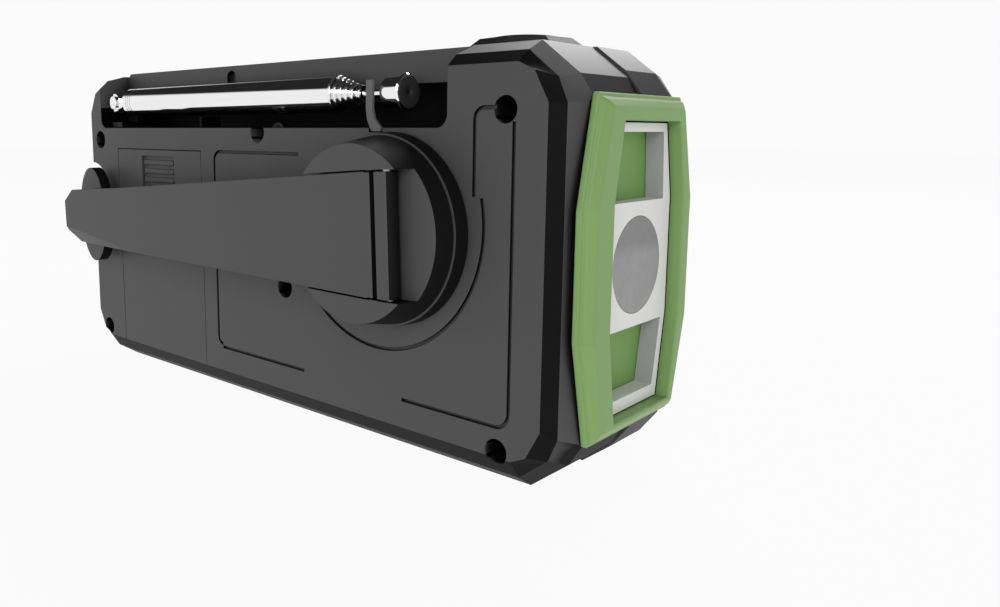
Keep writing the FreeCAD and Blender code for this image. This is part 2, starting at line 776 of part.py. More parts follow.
def crank_knob():
    low = face_y + knob_plate_low
    high = face_y + knob_plate_high
    foot = face_y + knob_foot_low
    x = hub_x + knob_u
    plate = slab_y(oval(knob_plate[0], knob_plate[1], x, hub_z), low, high)
    grip = rod_y(knob_foot_r, foot, low + 1, x, hub_z)
    bore = rod_y(knob_pin_r + fit, 0, through, x, hub_z)
    seat = rod_y(knob_seat_r, 0, face_y + pin_head_high + pin_collar_gap, x, hub_z)
    return tilted(fused([plate, grip]).cut(bore).cut(seat))


def knob_pin():
    x = hub_x + knob_u
    y1 = face_y + arm_low
    head_y = face_y + pin_head_low
    shank = rod_y(knob_pin_r, head_y, y1 + knob_pin_into_arm, x, hub_z)
    collar = rod_y(pin_collar_r, face_y + knob_plate_high + pin_collar_gap, y1, x, hub_z)
    head = rod_y(pin_head_r, head_y, face_y + pin_head_high, x, hub_z)
    return tilted(fused([shank, collar, head]))


# ---- gears --------------------------------------------------------------
def polar(x, z, distance, degrees):
    a = math.radians(degrees)
    return x + distance * math.cos(a), z + distance * math.sin(a)


centre_distance = gear_module * (wheel_teeth + pinion_teeth) / 2
idler_x, idler_z = polar(hub_x, hub_z, centre_distance, idler_dir)
rotor_x, rotor_z = polar(idler_x, idler_z, centre_distance, rotor_dir)


def gear(teeth, y0, y1, x, z, tooth_at):
    pitch_r = gear_module * teeth / 2
    tip = pitch_r + tooth_add * gear_module
    root = pitch_r - tooth_ded * gear_module
    step = 360.0 / teeth
    pairs = []
    for i in range(teeth):
        a = tooth_at + i * step
        pairs.append(polar(x, z, root, a - tooth_root * step))
        pairs.append(polar(x, z, tip, a - tooth_tip * step))
        pairs.append(polar(x, z, tip, a + tooth_tip * step))
        pairs.append(polar(x, z, root, a + tooth_root * step))
    return slab_y(pairs, y0, y1)


def drive_gear():
    wheel = gear(wheel_teeth, drive_y[0], drive_y[1], hub_x, hub_z, idler_dir)
    count, out, hole_r = wheel_holes
    for i in range(count):
        hx, hz = polar(hub_x, hub_z, out, 360.0 / count * i)
        wheel = wheel.cut(rod_y(hole_r, drive_y[0] - 1, drive_y[1] + 1, hx, hz))
    return wheel.cut(rod_y(shaft_r, 0, through, hub_x, hub_z))


def idler_gear():
    gap = 180.0 / pinion_teeth
    small = gear(pinion_teeth, idler_y[1] - seam, drive_y[1], idler_x, idler_z,
                 idler_dir + 180 + gap)
    big = gear(wheel_teeth, idler_y[0], idler_y[1], idler_x, idler_z, rotor_dir)
    return fused([small, big]).cut(rod_y(axle_r + fit, -through, through, idler_x, idler_z))


def rotor_pinion():
    gap = 180.0 / pinion_teeth
    small = gear(pinion_teeth, idler_y[0], idler_y[1], rotor_x, rotor_z,
                 rotor_dir + 180 + gap)
    return small.cut(rod_y(axle_r, -through, through, rotor_x, rotor_z))


def idler_axle():
    return rod_y(axle_r, gen_y[1] + plate_gap, inner_y, idler_x, idler_z)


def gear_plate():
    # plate that carries the generator and the front ends of the axles
    y0 = gen_y[1] + plate_gap
    reach = gen_r + 1.5
    pairs = [(hub_x - shaft_r * 3, hub_z + shaft_r * 3), (hub_x + shaft_r * 3, hub_z + shaft_r * 3),
             (rotor_x + reach, rotor_z + reach), (rotor_x + reach, rotor_z - reach),
             (idler_x - reach, rotor_z - reach)]
    plate = slab_y(pairs, y0, y0 + plate_thick)
    plate = plate.cut(rod_y(axle_r, -through, through, idler_x, idler_z))
    return plate.cut(rod_y(axle_r + plate_gap, -through, through, rotor_x, rotor_z))


def generator_rotor():
    shaft = rod_y(axle_r, gen_y[0] + gen_wall + gen_end, idler_y[1], rotor_x, rotor_z)
    magnet = rod_y(magnet_r, gen_y[0] + magnet_end, gen_y[1] - magnet_end, rotor_x, rotor_z)
    return fused([shaft, magnet])


def generator_housing():
    can = rod_y(gen_r, gen_y[0], gen_y[1], rotor_x, rotor_z)
    hollow = rod_y(gen_r - gen_wall, gen_y[0] + gen_wall, gen_y[1] - gen_wall, rotor_x, rotor_z)
    return can.cut(hollow).cut(rod_y(axle_r + fit, gen_y[0] + gen_end, through, rotor_x, rotor_z))


def generator_coils():
    ring = rod_y(coil_r[1], gen_y[0] + coil_end, gen_y[1] - coil_end, rotor_x, rotor_z)
    return ring.cut(rod_y(coil_r[0], -through, through, rotor_x, rotor_z))


# ---- torch end ----------------------------------------------------------
def bezel_outline(mid, end, zs):
    return [(-end, zs[0]), (-mid, zs[1]), (-mid, zs[2]), (-end, zs[3]),
            (end, zs[3]), (mid, zs[2]), (mid, zs[1]), (end, zs[0])]


bezel_face = -case_half - bezel_out
panel_face = bezel_face + panel_back


def mouth_slab(pairs, x0, x1):
    return slab_x([(y + mouth_y, z) for y, z in pairs], x0, x1)


def neck_slab(gap, x0, x1):
    zs = (neck_z[0] - gap, neck_z[1], neck_z[2], neck_z[3] + gap)
    return mouth_slab(bezel_outline(bezel_in_mid + neck_wall + gap,
                                    bezel_in_end + neck_wall + gap, zs), x0, x1)


def torch_space():
    return neck_slab(neck_gap, -case_half - 1, -case_half + neck_deep + 1)


def light_bezel():
    thick, extra = bezel_flange
    deep, wide = bezel_slope

    def ring(x, inset, grow):
        zs = (bezel_z[0] + inset - grow, bezel_z[1], bezel_z[2], bezel_z[3] - inset + grow)
        pairs = bezel_outline(bezel_mid_half - inset, bezel_end_half - inset, zs)
        return wire([V(x, y, z) for y, z in pairs])
    flange = Part.makeLoft([ring(-case_half - thick, 0.0, extra),
                            ring(-case_half, 0.0, extra)], True, True)
    bead = Part.makeLoft([ring(bezel_face, bezel_bead + wide, extra / 2),
                          ring(bezel_face + deep, bezel_bead, extra / 2),
                          ring(-case_half - thick / 2, bezel_bead, extra / 2)], True, True)
    neck = neck_slab(0.0, -case_half - 0.5, -case_half + neck_deep)
    mouth = mouth_slab(bezel_outline(bezel_in_mid, bezel_in_end, bezel_in_z),
                       bezel_face - 1, -case_half + neck_deep + 1)
    return fused([flange, bead, neck]).cut(mouth)


def window_outlines():
    shapes = []
    for low_half, low_z, high_half, high_z in (window_upper, window_lower):
        shapes.append([(-low_half, low_z), (low_half, low_z),
                       (high_half, high_z), (-high_half, high_z)])
    return shapes


def grown(pairs, extra):
    cy = sum(p[0] for p in pairs) / len(pairs)
    cz = sum(p[1] for p in pairs) / len(pairs)
    out = []
    for y, z in pairs:
        out.append((y + math.copysign(extra, y - cy), z + math.copysign(extra, z - cz)))
    return out


def light_panel():
    zs = (bezel_in_z[0] + panel_end_gap, bezel_in_z[1], bezel_in_z[2],
          bezel_in_z[3] - panel_end_gap)
    plate = mouth_slab(bezel_outline(bezel_in_mid - panel_gap, bezel_in_end - panel_gap, zs),
                       panel_face, panel_face + panel_thick)
    inside = panel_face + window_deep
    walls = [mouth_slab(grown(w, window_wall), panel_face, inside) for w in window_outlines()]
    body = fused([plate] + walls)
    for w in window_outlines():
        body = body.cut(mouth_slab(w, panel_face - 1, inside + 1))
    return body.cut(rod_x(lens_r + lens_gap, panel_face - 1, inside + 1, mouth_y, lens_z))


def light_backing():
    x0 = panel_face + window_deep + seam
    plates = [mouth_slab(grown(w, window_wall), x0, x0 + backing_thick)
              for w in window_outlines()]
    return Part.makeCompound(plates)


def light_lens():
    return rod_x(lens_r, panel_face, panel_face + panel_thick, mouth_y, lens_z)


cup_x0 = panel_face + panel_thick + lens_gap


def light_reflector():
    x1 = cup_x0 + cup_deep
    cup = cone_x(lens_r, cup_end_r, cup_x0, x1, mouth_y, lens_z)
    hollow = cone_x(lens_r - cup_wall, cup_end_r - cup_wall, cup_x0 - skin, x1 + skin,
                    mouth_y, lens_z)
    return cup.cut(hollow)


def light_led():
    x0 = cup_x0 + cup_deep + lens_gap
    plate = box(x0, x0 + backing_thick, mouth_y - led_half, mouth_y + led_half,
                lens_z - led_half, lens_z + led_half)
    chip = rod_x(led_chip_r, x0 - led_chip_high, x0, mouth_y, lens_z)
    return fused([plate, chip])


# ---- front pieces --------------------------------------------------------
def speaker_grille():
    y0 = -face_y
    plate = rod_y(grille_r, y0, y0 + grille_thick, speaker_x, speaker_z)
    for i in range(-grille_rows, grille_rows + 1):
        rise = i * grille_pitch
        half = math.sqrt((grille_r - grille_rim) ** 2 - rise ** 2) - 1
        z = speaker_z + rise
        plate = plate.cut(box(speaker_x - half, speaker_x + half, y0 - 1, y0 + 2,
                              z - grille_slot_half, z + grille_slot_half))
    return plate


basket_y = -inner_y + speaker_gap


def speaker_basket():
    y1 = basket_y + basket_deep
    rim = rod_y(grille_r - 1, basket_y, basket_y + basket_wall, speaker_x, speaker_z)
    cup = cone_y(grille_r - 3, basket_end_r, basket_y, y1, speaker_x, speaker_z)
    hollow = cone_y(grille_r - 3 - basket_wall, basket_end_r - basket_wall, basket_y - skin,
                    y1 + skin, speaker_x, speaker_z)
    return fused([rim, cup]).cut(hollow)


def speaker_cone():
    y0 = basket_y + 0.4
    top_r = grille_r - 3 - basket_wall - cone_wall
    outer = cone_y(top_r, cone_end_r, y0, y0 + cone_deep, speaker_x, speaker_z)
    inner = cone_y(top_r - cone_wall, cone_end_r - cone_wall, y0 - skin,
                   y0 + cone_deep - cone_wall, speaker_x, speaker_z)
    return outer.cut(inner)


def speaker_magnet():
    y0 = basket_y + basket_deep
    return rod_y(speaker_magnet_r, y0, y0 + speaker_magnet_thick, speaker_x, speaker_z)


def dial_window():
    return box(dial_x[0] + seam, dial_x[1] - seam, -face_y, -face_y + dial_sunk - seam,
               dial_z[0] + seam, dial_z[1] - seam)


def dial_scale():
    y0 = -inner_y + scale_behind
    return box(dial_x[0] + 1, dial_x[1] - 1, y0, y0 + scale_thick, dial_z[0] - 0.5,
               dial_z[1] + 0.5)


def dial_pointer():
    x = (dial_x[0] + dial_x[1]) / 2
    return box(x - pointer_half, x + pointer_half, -inner_y + pointer_y[0],
               -inner_y + pointer_y[1], dial_z[0] + pointer_inset, dial_z[1] - pointer_inset)


def turn_knob(at, r):
    x, z = at
    y0 = -face_y - knob_proud
    y1 = -face_y - knob_lift
    body = cone_y(r - knob_draft, r, y0, y1, x, z)
    for i in range(knob_flutes):
        gx, gz = polar(x, z, r + flute_out, 360.0 / knob_flutes * i)
        body = body.cut(rod_y(flute_r, y0 + flute_ends[0], y1 - flute_ends[1], gx, gz))
    mark = box(x - pointer_half, x + pointer_half, y0 - 1, y0 + 0.5, z + r * 0.35, z + r * 0.8)
    stem = rod_y(stem_r, y1 - 0.5, board_y[0] - control_deep - plate_gap, x, z)
    return fused([body, stem]).cut(mark)


def control_body(at, half):
    # rotary control soldered to the board under each knob stem
    x, z = at
    return box(x - half, x + half, board_y[0] - control_deep, board_y[0] - fit,
               z - half, z + half)


def band_slider():
    x, z = band_at
    half_x, half_z, proud = band_knob
    seat = -face_y + 0.5
    knob = box(x - half_x, x + half_x, -face_y - proud, seat, z - half_z, z + half_z)
    stem = box(x - band_stem[0], x + band_stem[0], seat,
               board_y[0] - band_body[2] - plate_gap, z - band_stem[1], z + band_stem[1])
    return fused([knob, stem])


def band_switch():
    x, z = band_at
    half_x, half_z, deep = band_body
    return box(x - half_x, x + half_x, board_y[0] - deep, board_y[0] - fit,
               z - half_z, z + half_z)


def main_board():
    board = box(board_x[0], board_x[1], board_y[0], board_y[1], board_z[0], board_z[1])
    return board.cut(rod_y(boss_r, -through, through, board_screw[0], board_screw[1]))


# ---- top -----------------------------------------------------------------
def solar_space():
    return box(solar_x[0], solar_x[1], solar_y[0], solar_y[1], case_top - solar_sunk,
               case_top + 1)


def solar_tray(inset, z0, z1):
    return box(solar_x[0] + inset, solar_x[1] - inset, solar_y[0] + inset,
               solar_y[1] - inset, z0, z1)


def solar_frame():
    z0 = case_top - solar_sunk
    return solar_tray(solar_gap, z0, case_top).cut(
        solar_tray(solar_rim, z0 + solar_floor, case_top + 1))


def solar_cell():
    z0 = case_top - solar_sunk + solar_floor
    return solar_tray(solar_rim + seam, z0, z0 + cell_thick)


def lamp_space():
    return rod_z(lamp_hole_r, case_top - wall - 1, case_top + 1, lamp_at[0], lamp_at[1])


def lamp_frame():
    # eight-sided raised ring around the torch button
    def ring(r, z):
        points = []
        for i in range(8):
            a = math.radians(45 * i + lamp_turn)
            points.append(V(lamp_at[0] + r * math.cos(a), lamp_at[1] + r * math.sin(a), z))
        return wire(points)
    body = Part.makeLoft([ring(lamp_r, case_top),
                          ring(lamp_r - lamp_slope, case_top + lamp_high)], True, True)
    return body.cut(rod_z(lamp_hole_r, 0, case_top + through, lamp_at[0], lamp_at[1]))


def lamp_button():
    x, y = lamp_at
    foot = case_top - lamp_foot
    cap = rod_z(lamp_button_r, foot, case_top + lamp_high + lamp_button_high, x, y)
    stem = rod_z(lamp_stem_r, case_top - lamp_stem_low, foot, x, y)
    return fused([cap, stem])


def lamp_switch():
    x, y = lamp_at
    half = lamp_switch_half
    return box(x - half, x + half, y - half, y + half, case_top - lamp_switch_z[0],
               case_top - lamp_switch_z[1])


# ---- charging port ---------------------------------------------------------
def port_space():
    lid = box(port_hinge_x - port_hinge_r - port_gap, case_half + 1, port_y[0] - port_gap,
              port_y[1] + port_gap, port_z[0] - port_gap, port_z[1] + port_gap)
    hole = box(case_half - wall - 1, case_half + 1, port_y[0] + 2, port_y[1] - 2,
               port_z[0] + 4, port_z[1] - 4)
    return fused([lid, hole])


def port_cover():
    x0 = port_hinge_x - port_hinge_r
    x1 = case_half + port_proud
    side, top, gap, out = port_tab
    plate = box(x0, x1, port_y[0], port_y[1], port_hinge_z, port_z[1])
    barrel = rod_y(port_hinge_r, port_y[0], port_y[1], port_hinge_x, port_hinge_z)
    tab = box(x1, x1 + out, port_y[0] + side, port_y[1] - side, port_z[1] - top, port_z[1] - gap)
    return fused([plate, barrel, tab])


usb_x = case_half - wall - port_gap


def usb_board():
    return box(usb_x - usb_board_long, usb_x - port_gap, usb_board_y[0], usb_board_y[1],
               usb_board_z[0], usb_board_z[1])


def usb_port():
    shell = box(usb_x - usb_long, usb_x, usb_y[0], usb_y[1], usb_z[0], usb_z[1])
    return shell.cut(box(usb_x - usb_long + 1, usb_x + 1, usb_y[0] + usb_wall,
                         usb_y[1] - usb_wall, usb_z[0] + usb_wall, usb_z[1] - usb_wall))


NODES = {
    "rear_cover": rear_cover,
    "front_cover": front_cover,
    "cover_screws": cover_screws,
    "battery_door": battery_door,
    "battery_cells": battery_cells,
    "battery_contacts": battery_contacts,
    "antenna_bracket": antenna_bracket,
    "antenna_rivet": antenna_rivet,
    "antenna_mast": antenna_mast,
    "antenna_section_2": lambda: section_tube(1),
    "antenna_section_3": lambda: section_tube(2),
    "antenna_section_4": lambda: section_tube(3),
    "antenna_section_5": lambda: section_tube(4),
    "antenna_section_6": lambda: section_tube(5),
    "antenna_rod": antenna_rod,
    "antenna_tip": antenna_tip,
    "antenna_clip": antenna_clip,
    "crank_base": crank_base,
    "crank_hub": crank_hub,
    "crank_shaft": crank_shaft,
    "arm_hinge_pin": arm_hinge_pin,
    "crank_arm": crank_arm,
    "crank_knob": crank_knob,
    "knob_pin": knob_pin,
    "drive_gear": drive_gear,
    "idler_gear": idler_gear,
    "idler_axle": idler_axle,
    "rotor_pinion": rotor_pinion,
    "gear_plate": gear_plate,
    "generator_rotor": generator_rotor,
    "generator_housing": generator_housing,
    "generator_coils": generator_coils,
    "light_bezel": light_bezel,
    "light_panel": light_panel,
    "light_backing": light_backing,
    "light_lens": light_lens,
    "light_reflector": light_reflector,
    "light_led": light_led,
    "speaker_grille": speaker_grille,
    "speaker_basket": speaker_basket,
    "speaker_cone": speaker_cone,
    "speaker_magnet": speaker_magnet,
    "dial_window": dial_window,
    "dial_scale": dial_scale,
    "dial_pointer": dial_pointer,
    "tuning_knob": lambda: turn_knob(tuning_at, tuning_r),
    "tuning_control": lambda: control_body(tuning_at, tuning_half),
    "volume_knob": lambda: turn_knob(volume_at, volume_r),
    "volume_control": lambda: control_body(volume_at, volume_half),
    "band_slider": band_slider,
    "band_switch": band_switch,
    "main_board": main_board,
    "solar_frame": solar_frame,
    "solar_cell": solar_cell,
    "lamp_frame": lamp_frame,
    "lamp_button": lamp_button,
    "lamp_switch": lamp_switch,
    "port_cover": port_cover,
    "usb_board": usb_board,
    "usb_port": usb_port,
}

os.makedirs("parts", exist_ok=True)
for name, make in NODES.items():
    shape = make()
    shape.exportStep("parts/" + name + ".step")
    print(name, len(shape.Solids), shape.isValid(), round(shape.Volume, 1))
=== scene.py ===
import json
import math
import bpy
import bmesh
from mathutils import Vector, Matrix


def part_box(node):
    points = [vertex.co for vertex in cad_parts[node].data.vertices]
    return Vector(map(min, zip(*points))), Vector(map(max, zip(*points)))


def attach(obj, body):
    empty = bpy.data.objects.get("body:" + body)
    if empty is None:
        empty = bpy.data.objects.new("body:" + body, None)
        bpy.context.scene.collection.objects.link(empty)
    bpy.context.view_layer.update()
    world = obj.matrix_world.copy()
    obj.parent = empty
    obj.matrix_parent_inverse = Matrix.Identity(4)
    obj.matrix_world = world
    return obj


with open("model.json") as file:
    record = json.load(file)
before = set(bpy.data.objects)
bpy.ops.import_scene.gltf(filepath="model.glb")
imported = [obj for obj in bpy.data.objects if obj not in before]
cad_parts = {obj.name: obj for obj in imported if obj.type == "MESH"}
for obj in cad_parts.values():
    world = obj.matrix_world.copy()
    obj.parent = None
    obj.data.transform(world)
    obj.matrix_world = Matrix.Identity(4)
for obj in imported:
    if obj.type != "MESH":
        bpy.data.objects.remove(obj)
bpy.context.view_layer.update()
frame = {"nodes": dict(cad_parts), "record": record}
nodes = frame["nodes"]
mm = 0.001
print("frame loaded:", len(nodes), "nodes")


cameraSetup = {
    "place": (-0.15002, 0.13938, 0.06463),
    "yaw": 0.741,          # radians, from -Y towards +X
    "pitch": -0.141,
    "roll": 0.003,
    "lens": 30.2,
    "shift": (0.10, -0.0535),
    "near": 0.005,
}


def makeCamera(s):
    data = bpy.data.cameras.new("viewCamera")
    cam = bpy.data.objects.new("viewCamera", data)
    bpy.context.scene.collection.objects.link(cam)
    data.lens = s["lens"]
    data.shift_x, data.shift_y = s["shift"]
    data.clip_start = s["near"]
    look = Vector((math.sin(s["yaw"]) * math.cos(s["pitch"]),
                   -math.cos(s["yaw"]) * math.cos(s["pitch"]), math.sin(s["pitch"])))
    cam.rotation_mode = "QUATERNION"
    turn = look.to_track_quat("-Z", "Y")
    cam.rotation_quaternion = turn @ Matrix.Rotation(s["roll"], 3, "Z").to_quaternion()
    cam.location = s["place"]
    bpy.context.scene.camera = cam


makeCamera(cameraSetup)
print("camera placed")


def newMaterial(name):
    mat = bpy.data.materials.new(name)
    mat.use_nodes = True
    tree = mat.node_tree
    tree.nodes.clear()
    out = tree.nodes.new("ShaderNodeOutputMaterial")
    shader = tree.nodes.new("ShaderNodeBsdfPrincipled")
    tree.links.new(shader.outputs[0], out.inputs[0])
    return mat, tree, shader


def addNode(tree, kind, **values):
    node = tree.nodes.new(kind)
    for key, value in values.items():
        setattr(node, key, value)
    return node


def noise(tree, coords, scale, detail=4.0, rough=0.5):
    n = addNode(tree, "ShaderNodeTexNoise")
    n.inputs["Scale"].default_value = scale
    n.inputs["Detail"].default_value = detail
    n.inputs["Roughness"].default_value = rough
    tree.links.new(coords, n.inputs["Vector"])
    return n.outputs["Fac"]


def mathNode(tree, op, a, b=None):
    n = addNode(tree, "ShaderNodeMath", operation=op)
    for i, v in enumerate((a, b)):
        if v is None:
            continue
        if hasattr(v, "links"):
            tree.links.new(v, n.inputs[i])
        else:
            n.inputs[i].default_value = v
    return n.outputs[0]


def spread(tree, fac, low, high):
    n = addNode(tree, "ShaderNodeMapRange")
    tree.links.new(fac, n.inputs["Value"])
    n.inputs["To Min"].default_value = low
    n.inputs["To Max"].default_value = high
    return n.outputs[0]


def mixColour(tree, fac, a, b):
    n = addNode(tree, "ShaderNodeMix", data_type="RGBA")
    for socket, v in ((n.inputs[0], fac), (n.inputs[6], a), (n.inputs[7], b)):
        if hasattr(v, "links"):
            tree.links.new(v, socket)
        elif isinstance(v, (int, float)):
            socket.default_value = v
        else:
            socket.default_value = (*v, 1.0)
    return n.outputs[2]


def objectCoords(tree):
    return addNode(tree, "ShaderNodeTexCoord").outputs["Object"]


def objectNormal(tree):
    out = addNode(tree, "ShaderNodeTexCoord").outputs["Normal"]
    split = addNode(tree, "ShaderNodeSeparateXYZ")
    tree.links.new(out, split.inputs[0])
    return split.outputs


def step(tree, value, low, high):
    # 0 below low, 1 above high, straight between
    n = addNode(tree, "ShaderNodeMapRange")
    n.inputs["From Min"].default_value = low
    n.inputs["From Max"].default_value = high
    tree.links.new(value, n.inputs["Value"])
    return n.outputs[0]


wearSetup = {"grain": 0.22, "grainDepth": 0.04 * mm, "edgeSamples": 4}


def wear(tree, shader, height, s):
    # rounded edges first, then the grain on top
    n = addNode(tree, "ShaderNodeBump")
    n.inputs["Strength"].default_value = s.get("grain", wearSetup["grain"])
    n.inputs["Distance"].default_value = s.get("grainDepth", wearSetup["grainDepth"])
    tree.links.new(height, n.inputs["Height"])
    if s.get("edge"):
        soft = addNode(tree, "ShaderNodeBevel", samples=wearSetup["edgeSamples"])
        soft.inputs["Radius"].default_value = s["edge"]
        tree.links.new(soft.outputs[0], n.inputs["Normal"])
    tree.links.new(n.outputs[0], shader.inputs["Normal"])


# corner facets of the case: the lower ones get painted shade, dark, and the upper ones a painted
# highlight
# each pair is a range of one part of the normal
facetSetup = {"blur": 0.01, "square": (0.15, 0.1), "slantDepth": (0.13, 0.6),
              "slantAcross": (0.2, 0.8), "shineAcross": (0.3, 0.9)}


def paintFacetLight(tree, colour, s):
    nx, ny, nz = objectNormal(tree)
    across = mathNode(tree, "ABSOLUTE", nx)
    depth = mathNode(tree, "ABSOLUTE", ny)

    def between(value, low, high):
        blur = facetSetup["blur"]
        above = step(tree, value, low - blur, low + blur)
        return mathNode(tree, "MULTIPLY", above, step(tree, value, high + blur, high - blur))
    square = step(tree, depth, *facetSetup["square"])
    steep = mathNode(tree, "MULTIPLY", square, between(nz, *s["steep"]))
    slant = mathNode(tree, "MULTIPLY", between(depth, *facetSetup["slantDepth"]),
                     mathNode(tree, "MULTIPLY", between(nz, *s["slant"]),
                              between(across, *facetSetup["slantAcross"])))
    # painted shade: the steep and slanted corner facets are coloured dark
    dull = mathNode(tree, "MAXIMUM", steep, slant)
    colour = mixColour(tree, dull, colour, s["dark"])
    # painted highlight: the upper corner facets are coloured lighter, more so higher up
    bright = mathNode(tree, "MULTIPLY", square, between(nz, *s["shine"]))
    split = addNode(tree, "ShaderNodeSeparateXYZ")
    tree.links.new(objectCoords(tree), split.inputs[0])
    rise = step(tree, split.outputs[2], *s["highlightHeight"])
    light = mixColour(tree, rise, s["highlightLow"], s["highlightHigh"])
    lit = mathNode(tree, "MULTIPLY", bright, between(across, *facetSetup["shineAcross"]))
    return mixColour(tree, lit, colour, light), dull


# painted shade: black colour inside a slot or gap where shade falls, given as corner pairs in
# metres
slotShadeBlack = (0.001, 0.001, 0.001)


def paintSlotShade(tree, colour, boxes):
    split = addNode(tree, "ShaderNodeSeparateXYZ")
    tree.links.new(objectCoords(tree), split.inputs[0])
    total = None
    for low, high in boxes:
        inside = None
        for axis in range(3):
            value = split.outputs[axis]
            above = mathNode(tree, "GREATER_THAN", value, low[axis])
            part = mathNode(tree, "MULTIPLY", above,
                            mathNode(tree, "LESS_THAN", value, high[axis]))
            inside = part if inside is None else mathNode(tree, "MULTIPLY", inside, part)
        total = inside if total is None else mathNode(tree, "MAXIMUM", total, inside)
    return mixColour(tree, total, colour, slotShadeBlack), total


# moulded plastic: spark-eroded grain, faint flow marks and dust; side faces and faces looking
# down get painted shade, a darker colour
plasticSetup = {
    "cloudScale": 25,
    "grainScale": 2600,
    "dustScale": 900,
    "dustRange": (0.63, 0.75),
    "dust": 0.25,
    "vary": 0.06,
    "roughVary": 0.05,
    "sideVary": 1.3,
    "underRange": (0.35, 0.45),       # how far a face has to look down to get painted shade underneath
    "specular": 0.3,
    "sideSpecular": 0.06,
    # painted shade in holes and slots: ambient occlusion range and the near-black colour
    "recessShadeRange": (0.62, 0.38),
    "recessShadeColour": (0.0012, 0.0012, 0.0012),
}


def mouldedPlastic(name, own):
    s = {**plasticSetup, **own}
    mat, tree, shader = newMaterial(name)
    coords = objectCoords(tree)
    broad = noise(tree, coords, s["cloudScale"], 3)
    dust = step(tree, noise(tree, coords, s["dustScale"], 6, 0.7), *s["dustRange"])
    fine = noise(tree, coords, s["grainScale"], 2)
    dark = tuple(c * (1 - s["vary"]) for c in s["colour"])
    light = tuple(c * (1 + s["vary"]) for c in s["colour"])
    colour = mixColour(tree, broad, dark, light)
    speck = tuple(min(1.0, c * 1.25 + 0.01) for c in s["colour"])
    colour = mixColour(tree, mathNode(tree, "MULTIPLY", dust, s["dust"]), colour, speck)
    rough = spread(tree, broad, s["rough"] - s["roughVary"], s["rough"] + s["roughVary"])
    dull = None        # where painted shade makes the surface darker and less shiny

    def widen(mask):
        return mask if dull is None else mathNode(tree, "MAXIMUM", dull, mask)
    # painted shade: faces in the given range of directions, and faces looking down, get a darker
    # colour in place of shade
    if s.get("sideShadeColour"):
        nx, ny, nz = objectNormal(tree)
        flat = mathNode(tree, "ABSOLUTE", ny)
        shadedFaces = mathNode(tree, "MULTIPLY", step(tree, flat, s["band"][0] - 0.03, s["band"][0]),
                          step(tree, flat, s["band"][1] + 0.02, s["band"][1]))
        if s.get("under"):
            below = mathNode(tree, "MULTIPLY", nz, -1.0)
            shadedFaces = mathNode(tree, "MAXIMUM", shadedFaces, step(tree, below, *s["underRange"]))
        lighter = tuple(c * s["sideVary"] for c in s["sideShadeColour"])
        sideShade = mixColour(tree, broad, s["sideShadeColour"], lighter)
        colour = mixColour(tree, shadedFaces, colour, sideShade)
        dull = widen(shadedFaces)
    if s.get("facets"):
        colour, mask = paintFacetLight(tree, colour, s["facets"])
        dull = widen(mask)
    if s.get("shadeSlots"):
        colour, mask = paintSlotShade(tree, colour, s["shadeSlots"])
        dull = widen(mask)
    shader.inputs["Specular IOR Level"].default_value = s["specular"]
    if dull is not None:
        tree.links.new(spread(tree, dull, s["specular"], s["sideSpecular"]),
                       shader.inputs["Specular IOR Level"])
    if s.get("recessShadeReach"):
        # painted shade: the colour goes near black where ambient occlusion finds holes and slots
        shelter = addNode(tree, "ShaderNodeAmbientOcclusion", samples=8)
        shelter.inputs["Distance"].default_value = s["recessShadeReach"]
        shadeAmount = step(tree, shelter.outputs["AO"], *s["recessShadeRange"])
        colour = mixColour(tree, shadeAmount, colour, s["recessShadeColour"])
    tree.links.new(colour, shader.inputs["Base Color"])
    tree.links.new(rough, shader.inputs["Roughness"])
    wear(tree, shader, fine, s)
    return mat


# drawn or turned metal: fine lines round the work, smudges and small pits
metalSetup = {"cloudScale": 60, "shade": 0.92, "lines": (1.0, 1.0, 1.0), "grainScale": 1500,
              "grain": 0.04, "grainDepth": 0.02 * mm, "roughRange": (0.7, 1.4)}


def metal(name, own):
    s = {**metalSetup, **own}
    mat, tree, shader = newMaterial(name)
    coords = objectCoords(tree)
    broad = noise(tree, coords, s["cloudScale"], 4)
    shader.inputs["Metallic"].default_value = 1.0
    dark = tuple(c * s["shade"] for c in s["colour"])
    tree.links.new(mixColour(tree, broad, dark, s["colour"]), shader.inputs["Base Color"])
    smooth, dull = (s["rough"] * part for part in s["roughRange"])
    tree.links.new(spread(tree, broad, smooth, dull), shader.inputs["Roughness"])
    stretch = addNode(tree, "ShaderNodeMapping")
    stretch.inputs["Scale"].default_value = s["lines"]
    tree.links.new(coords, stretch.inputs["Vector"])
    fine = noise(tree, stretch.outputs[0], s["grainScale"], 3)
    wear(tree, shader, fine, s)
    return mat


# solar cells: dark blue silicon with silver fingers and bus bars under clear resin
def solarSheet(name, s):
    mat, tree, shader = newMaterial(name)
    coords = objectCoords(tree)
    split = addNode(tree, "ShaderNodeSeparateXYZ")
    tree.links.new(coords, split.inputs[0])
    x, y = split.outputs[0], split.outputs[1]

    def lines(value, pitch, wide):
        turn = mathNode(tree, "MODULO", mathNode(tree, "ADD", value, 1.0), pitch)
        return mathNode(tree, "LESS_THAN", turn, wide)
    fingers = lines(x, s["fingerPitch"], s["fingerWide"])
    bars = lines(y, s["barPitch"], s["barWide"])
    cells = lines(x, s["cellPitch"], s["cellGap"])
    silver = mathNode(tree, "MAXIMUM", fingers, bars)
    grain = noise(tree, coords, 380, 5, 0.6)
    blue = mixColour(tree, grain, s["colour"], s["colourTwo"])
    blue = mixColour(tree, silver, blue, s["silver"])
    tree.links.new(mixColour(tree, cells, blue, (0.01, 0.01, 0.012)), shader.inputs["Base Color"])
    tree.links.new(spread(tree, grain, 0.15, 0.3), shader.inputs["Roughness"])
    shader.inputs["Coat Weight"].default_value = 0.8
    shader.inputs["Coat Roughness"].default_value = 0.06
    wear(tree, shader, silver, dict(grain=0.2))
    return mat


